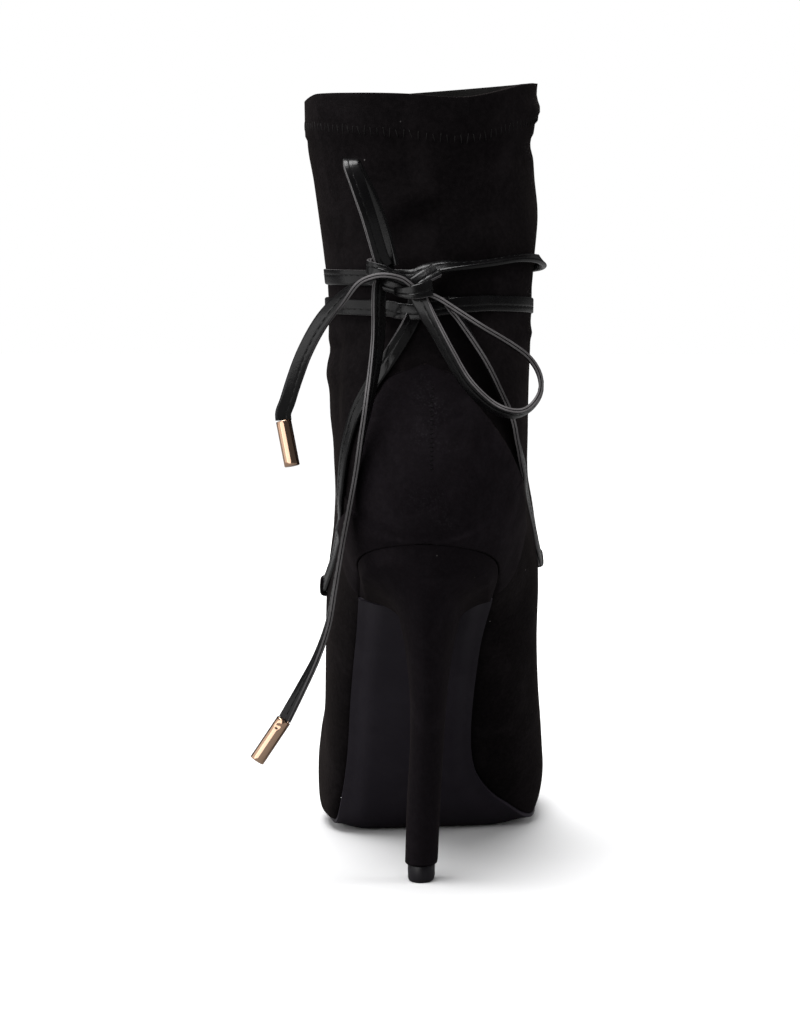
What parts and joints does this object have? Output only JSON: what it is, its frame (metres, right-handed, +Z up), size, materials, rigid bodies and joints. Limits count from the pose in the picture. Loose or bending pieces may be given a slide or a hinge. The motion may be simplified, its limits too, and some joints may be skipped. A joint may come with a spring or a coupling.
{
  "type": "stiletto ankle boot",
  "caption": "Left sock-style ankle boot in black suede on a high covered stiletto heel, with a flat lace wrapped round the ankle and tied in a bow at the back.",
  "frame": {"origin": "on the floor, at the middle of the forefoot's flat tread", "axes": "+Z up, +Y from the heel to the toe, +X to the inner side of the foot"},
  "size_m": [0.0943, 0.2257, 0.2571],
  "materials": {
    "upper": "black suede, matte nap",
    "counter": "black suede, matte nap",
    "outsole": "smooth satin charcoal",
    "insole": "dull black lining",
    "heel": "black suede cover, matte",
    "heel_tip": "satin dark grey",
    "keeper_lateral": "black suede",
    "keeper_medial": "black suede",
    "lace_run": "half-gloss black",
    "lace_upper_turn": "half-gloss black",
    "lace_knot": "half-gloss black",
    "lace_loop_up": "half-gloss black",
    "lace_loop_side": "half-gloss black",
    "lace_end_left": "half-gloss black",
    "lace_end_down": "half-gloss black",
    "lace_tip_left": "polished rose gold",
    "lace_tip_down": "polished rose gold"
  },
  "bodies": {
    "root": {"upper": "upper", "counter": "counter", "outsole": "outsole", "insole": "insole", "heel": "heel", "heel_tip": "heel_tip", "keeper_lateral": "keeper_lateral", "keeper_medial": "keeper_medial", "lace_run": "lace_run", "lace_upper_turn": "lace_upper_turn", "lace_knot": "lace_knot", "lace_loop_up": "lace_loop_up", "lace_loop_side": "lace_loop_side", "lace_end_left": "lace_end_left", "lace_end_down": "lace_end_down", "lace_tip_left": "lace_tip_left", "lace_tip_down": "lace_tip_down"}
  },
  "joints": []
}
